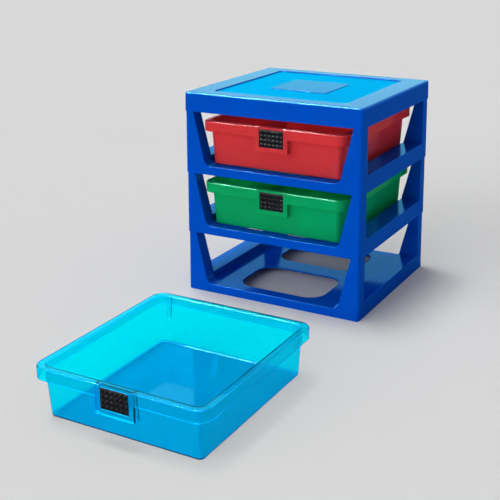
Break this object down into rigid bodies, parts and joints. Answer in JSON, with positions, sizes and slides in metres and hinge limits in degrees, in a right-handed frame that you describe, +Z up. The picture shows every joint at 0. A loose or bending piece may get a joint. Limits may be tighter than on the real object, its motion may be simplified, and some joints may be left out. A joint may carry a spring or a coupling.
{
  "type": "stacking drawer rack",
  "caption": "Desktop rack of stacked tiers under a lid, with see-through drawers that slide on the tiers' floors, one of them standing on the floor in front.",
  "frame": {"origin": "bottom centre of the box round the rack and the bottom drawer that stands in front of it", "axes": "+Z up, -Y the way the drawers pull out, +X to the right seen from the front"},
  "size_m": [0.3674, 0.8492, 0.38],
  "materials": {
    "rack": "glossy saturated blue moulded plastic",
    "drawer_red": "glossy see-through red plastic",
    "drawer_green": "glossy see-through green plastic",
    "drawer_blue": "glossy see-through cyan-blue plastic",
    "grip": "black studded plastic"
  },
  "bodies": {
    "rack": {"bottom_tier": "rack", "middle_tier": "rack", "top_tier": "rack", "lid": "rack"},
    "top_drawer": {"top_drawer": "drawer_red", "top_grip_plate": "grip"},
    "middle_drawer": {"middle_drawer": "drawer_green", "middle_grip_plate": "grip"},
    "bottom_drawer": {"bottom_drawer": "drawer_blue", "bottom_grip_plate": "grip"}
  },
  "joints": [
    {"name": "top_drawer_slide", "type": "slide", "parent": "rack", "child": "top_drawer", "axis": [0, -1, 0], "range_m": [0, 0.26]},
    {"name": "middle_drawer_slide", "type": "slide", "parent": "rack", "child": "middle_drawer", "axis": [0, -1, 0], "range_m": [0, 0.26]},
    {"name": "bottom_drawer_on_floor", "type": "slide", "parent": "rack", "child": "bottom_drawer", "axis": [0, 1, 0], "range_m": [0, 0.2]}
  ]
}
